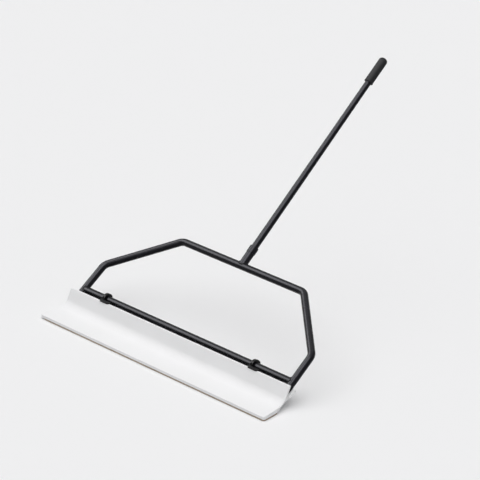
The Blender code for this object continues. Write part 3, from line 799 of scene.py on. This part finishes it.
def both_ends(right, radii):
    """A right end and its mirror image, further out at the left, as a closed rounded outline."""
    left = [(-x - BLADE_LEFT_EXTRA, other) for x, other in reversed(right)]
    return rounded_outline(right + left, radii + radii[::-1])


section = [
    ((LIP_Y, SOLE_Z), 0.0),
    ((LIP_Y, LIP_TOP_Z), LIP_RADIUS),
    (WALL_FOOT, WALL_FOOT_RADIUS),
    (WALL_TOP_FRONT, EDGE_RADIUS),
    (WALL_TOP_REAR, EDGE_RADIUS),
    (CHANNEL_ROOT, ROOT_RADIUS),
    (FLAP_TOP, FLAP_RADIUS),
    (FLAP_END, FLAP_RADIUS),
    (FLAP_FOOT, FLAP_FOOT_RADIUS),
    (HEEL, HEEL_RADIUS),
]
blade_half = LEG_HALF + BLADE_OVERHANG
rear_half = blade_half - REAR_NARROWING
blade = section_slab(
    "blade_section",
    rounded_outline([corner for corner, _ in section], [radius for _, radius in section]),
    blade_half + BLADE_LEFT_EXTRA + EDGE_RADIUS,
)
plan_right = [
    (blade_half, LIP_Y - SEAT_GAP),
    (blade_half - MIDDLE_NARROWING, MIDDLE_Y),
    (rear_half + SEAT_GAP, REAR_Y),
    (rear_half + SEAT_GAP, FLAP_END.x + EDGE_RADIUS),
]
plan_radii = [LIP_CORNER_RADIUS, NARROWING_RADIUS, NARROWING_RADIUS, 0.0]
plan_cutter = section_slab("blade_plan", both_ends(plan_right, plan_radii), PLAN_CUTTER_HALF)
plan_cutter.data.transform(PLAN_AXES)
front_right = [
    (blade_half + EDGE_RADIUS / 2, 0.0),
    (blade_half + EDGE_RADIUS / 2, FLAP_TOP.y),
    (rear_half, FLAP_TOP.y + EDGE_RADIUS),
    (rear_half, WALL_TOP_REAR.y + SEAT_GAP),
]
front_radii = [0.0, 0.0, 0.0, TOP_CORNER_RADIUS]
front_cutter = section_slab("blade_front", both_ends(front_right, front_radii), FRONT_CUTTER_HALF)
front_cutter.data.transform(FRONT_AXES)
front_cutter.data.flip_normals()
cut(blade, plan_cutter, "INTERSECT")
cut(blade, front_cutter, "INTERSECT")
blade = baked(blade)
without(plan_cutter, front_cutter)
BLADE_PLASTIC = grained_material(
    "blade_plastic",
    (0.85, 0.85, 0.86),
    (0.835, 0.835, 0.84),
    scales=(7, 1600),
    roughness=0.55,
    spread=0.06,
    bump=0.05,
    specular=0.1,
)
finished(blade, "frame", "white_plastic", BLADE_PLASTIC, "blade")

# Rubber strip
# Tan rubber cut from sheet and glued under the blade, with slightly rounded edges. Its faint
# mottling is drawn out along it. Its tan is matched to a warm contact shadow, so it is partly the
# rubber's own colour and partly painted shade along the blade's lower edges.
STRIP_EDGE = 0.0005
CAD_MERGE_DISTANCE = 0.000005
FLAT_ANGLE = math.radians(0.5)
EDGE_ANGLE = math.radians(40)
EDGE_SEGMENTS = 3


def softened_copy(node, name, width):
    """A CAD piece copied, welded and given rounded edges."""
    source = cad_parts[node]
    obj = linked(name, source.data.copy())
    solid = bmesh.new()
    solid.from_mesh(obj.data)
    bmesh.ops.remove_doubles(solid, verts=solid.verts, dist=CAD_MERGE_DISTANCE)
    bmesh.ops.dissolve_limit(solid, angle_limit=FLAT_ANGLE, verts=solid.verts, edges=solid.edges)
    solid.to_mesh(obj.data)
    solid.free()
    bevel = obj.modifiers.new("edges", "BEVEL")
    bevel.width = width
    bevel.segments = EDGE_SEGMENTS
    bevel.limit_method = "ANGLE"
    bevel.angle_limit = EDGE_ANGLE
    return baked(obj)


# Painted shade: this tan is both the rubber's colour and a painted warm contact shadow under the
# blade's edges.
STRIP_RUBBER_AND_SHADE = grained_material(
    "strip_rubber",
    (0.40, 0.33, 0.26),
    (0.33, 0.27, 0.205),
    scales=(90, 1400),
    roughness=0.8,
    spread=0.08,
    bump=0.4,
    specular=0.15,
    stretch=(0.12, 1.0, 1.0),
)
strip = softened_copy("wiper_strip", "strip", STRIP_EDGE)
finished(strip, "frame", "tan_rubber", STRIP_RUBBER_AND_SHADE, "wiper_strip")

# Blade bolts, washers and leg blocks
# Zinc plated steel. A hexagon bolt goes through a wide washer and the blade's flap into a block in
# each leg's end, and so holds the blade to the bow.
PLATED_EDGE = 0.0003
ZINC_STEEL = grained_material(
    "zinc_steel",
    (0.60, 0.61, 0.64),
    (0.52, 0.53, 0.55),
    scales=(120, 2400),
    roughness=0.34,
    spread=0.12,
    bump=0.12,
    metallic=1.0,
)
for side in ("left", "right"):
    for node in ("blade_bolt", "blade_washer", "leg_foot"):
        piece = softened_copy(f"{node}_{side}", f"{node}_{side}_plated", PLATED_EDGE)
        finished(piece, "frame", "zinc_steel", ZINC_STEEL, f"{node}_{side}")

# Clamps
# Two-part collars pinched on the crossbar, each with a flat toe that lies on the blade's top edge
# and drops a short way behind it. Cast, then coated black like the frame.
CLAMP_EDGE = 0.0005
CLAMP_COAT = grained_material(
    "clamp_coat",
    (0.003, 0.003, 0.0035),
    (0.006, 0.006, 0.007),
    scales=(50, 800),
    roughness=0.36,
    spread=0.08,
    bump=0.1,
    specular=0.1,
)
for side in ("left", "right"):
    for half in ("top", "bottom"):
        piece = softened_copy(f"clamp_{half}_{side}", f"clamp_{half}_{side}_coated", CLAMP_EDGE)
        finished(piece, "frame", "black_clamp_coat", CLAMP_COAT, f"clamp_{half}_{side}")

# Clamp screws
# Blackened steel cap screws with a hexagon socket, two to each clamp. Their heads are sunk in its
# upper half, and they screw in its lower half.
SCREW_HEAD_RADIUS = 0.0035
SCREW_RADIUS = 0.002
SCREW_HEAD_HEIGHT = 0.004
SCREW_SOCKET_RADIUS = 0.0018
SCREW_SOCKET_DEPTH = 0.002
HEAD_ROUNDING = 0.0005
SCREW_TURN_STEPS = 40
HEXAGON_STEPS = 6
CUTTER_OVERSHOOT = 0.001
SCREW_STEEL = grained_material(
    "screw_steel",
    (0.055, 0.055, 0.06),
    (0.075, 0.075, 0.08),
    scales=(200, 2000),
    roughness=0.4,
    spread=0.1,
    bump=0.1,
    metallic=1.0,
)


def cap_screw(name, node):
    """A cap screw in the place of a CAD screw, standing upright."""
    low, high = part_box(node)
    space = Matrix.Translation(((low.x + high.x) / 2, (low.y + high.y) / 2, 0.0))
    top, seat = high.z, high.z - SCREW_HEAD_HEIGHT
    profile = [
        (0.0, top),
        (SCREW_HEAD_RADIUS - HEAD_ROUNDING, top),
        (SCREW_HEAD_RADIUS, top - HEAD_ROUNDING),
        (SCREW_HEAD_RADIUS, seat),
        (SCREW_RADIUS, seat),
        (SCREW_RADIUS, low.z),
        (0.0, low.z),
    ]
    screw = turned(name, profile, space=space, steps=SCREW_TURN_STEPS)
    above, below = top + CUTTER_OVERSHOOT, top - SCREW_SOCKET_DEPTH
    hexagon = [
        (0.0, above),
        (SCREW_SOCKET_RADIUS, above),
        (SCREW_SOCKET_RADIUS, below),
        (0.0, below),
    ]
    recess = turned("recess", hexagon, space=space, steps=HEXAGON_STEPS)
    screw = baked(cut(screw, recess))
    without(recess)
    return screw


for side in ("left", "right"):
    for row in ("front", "rear"):
        node = f"clamp_screw_{side}_{row}"
        screw = cap_screw(f"cap_screw_{side}_{row}", node)
        finished(screw, "frame", "black_screw_steel", SCREW_STEEL, node)

# Studio
# A plain pale floor under an even dome and one wide lamp overhead. Two soft cards, to the front
# and the left, cast no light on matt surfaces and show only as the sheen along the tubes.
FLOOR_SIZE = 80.0
FLOOR_COLOUR = (0.868, 0.868, 0.875, 1.0)
FLOOR_ROUGHNESS = 0.95
DOME_STRENGTH = 0.2
CAMERA_HEADING = math.radians(45.94)
CAMERA_PITCH = math.radians(23.42)
CAMERA_DISTANCE = 11.317
CAMERA_RIGHT = 0.2097
CAMERA_UP = 0.3590
LENS_PER_WIDTH = 6.19021
SENSOR_WIDTH = 36.0
CAMERA_REACH = 200.0
LAMP_ANGLE = math.radians(90)
CARD_ANGLE = math.radians(42)

floor_mesh = bpy.data.meshes.new("floor")
floor_solid = bmesh.new()
bmesh.ops.create_grid(floor_solid, x_segments=1, y_segments=1, size=FLOOR_SIZE / 2)
floor_solid.to_mesh(floor_mesh)
floor_solid.free()
floor = linked("floor", floor_mesh)
floor_material = bpy.data.materials.new("floor_paper")
floor_material.use_nodes = True
floor_shader = floor_material.node_tree.nodes["Principled BSDF"]
floor_shader.inputs["Base Color"].default_value = FLOOR_COLOUR
floor_shader.inputs["Roughness"].default_value = FLOOR_ROUGHNESS
floor_shader.inputs["Specular IOR Level"].default_value = 0.0
floor_mesh.materials.append(floor_material)

world = bpy.data.worlds.new("studio")
bpy.context.scene.world = world
world.use_nodes = True
sky = world.node_tree
background = sky.nodes["Background"]
light_path = tree_node(sky, "ShaderNodeLightPath")
seen = light_path.outputs["Is Camera Ray"]
for ray in ("Is Glossy Ray", "Is Transmission Ray"):
    seen = tree_node(
        sky, "ShaderNodeMath", [(0, seen), (1, light_path.outputs[ray])], operation="MAXIMUM"
    ).outputs[0]
sky_strength = tree_node(
    sky,
    "ShaderNodeMapRange",
    [("Value", seen), ("To Min", DOME_STRENGTH), ("To Max", FLOOR_COLOUR[0])],
)
sky.links.new(sky_strength.outputs["Result"], background.inputs["Strength"])
background.inputs["Color"].default_value = (1.0, 1.0, 1.0, 1.0)


def lamp(name, towards_light, strength, angle):
    """A wide soft lamp in the direction given."""
    data = bpy.data.lights.new(name, "SUN")
    data.energy = strength
    data.angle = angle
    obj = bpy.data.objects.new(name, data)
    bpy.context.scene.collection.objects.link(obj)
    obj.rotation_euler = Vector(towards_light).to_track_quat("Z", "Y").to_euler()
    return obj


lamp("soft_key", towards_light=(0.0, -0.08, 1.0), strength=2.5, angle=LAMP_ANGLE)
front_card = lamp("front_card", (0.25, -0.541, 0.803), strength=5.4, angle=CARD_ANGLE)
side_card = lamp("side_card", (-0.643, -0.371, 0.669), strength=4.2, angle=CARD_ANGLE)
for card in (front_card, side_card):
    card.visible_diffuse = False

right = Vector((math.cos(CAMERA_HEADING), math.sin(CAMERA_HEADING), 0.0))
forward = Vector(
    (
        -math.sin(CAMERA_HEADING) * math.cos(CAMERA_PITCH),
        math.cos(CAMERA_HEADING) * math.cos(CAMERA_PITCH),
        -math.sin(CAMERA_PITCH),
    )
)
up = right.cross(forward)
aim = Vector((0.0, crossbar_y, crossbar_z)) + right * CAMERA_RIGHT + up * CAMERA_UP
camera_data = bpy.data.cameras.new("camera")
camera_data.sensor_width = SENSOR_WIDTH
camera_data.lens = SENSOR_WIDTH * LENS_PER_WIDTH
camera_data.clip_end = CAMERA_REACH
camera = bpy.data.objects.new("camera", camera_data)
bpy.context.scene.collection.objects.link(camera)
turn = Matrix((right, up, -forward)).transposed().to_4x4()
camera.matrix_world = Matrix.Translation(aim - forward * CAMERA_DISTANCE) @ turn
bpy.context.scene.camera = camera
bpy.context.scene.view_settings.view_transform = "Standard"
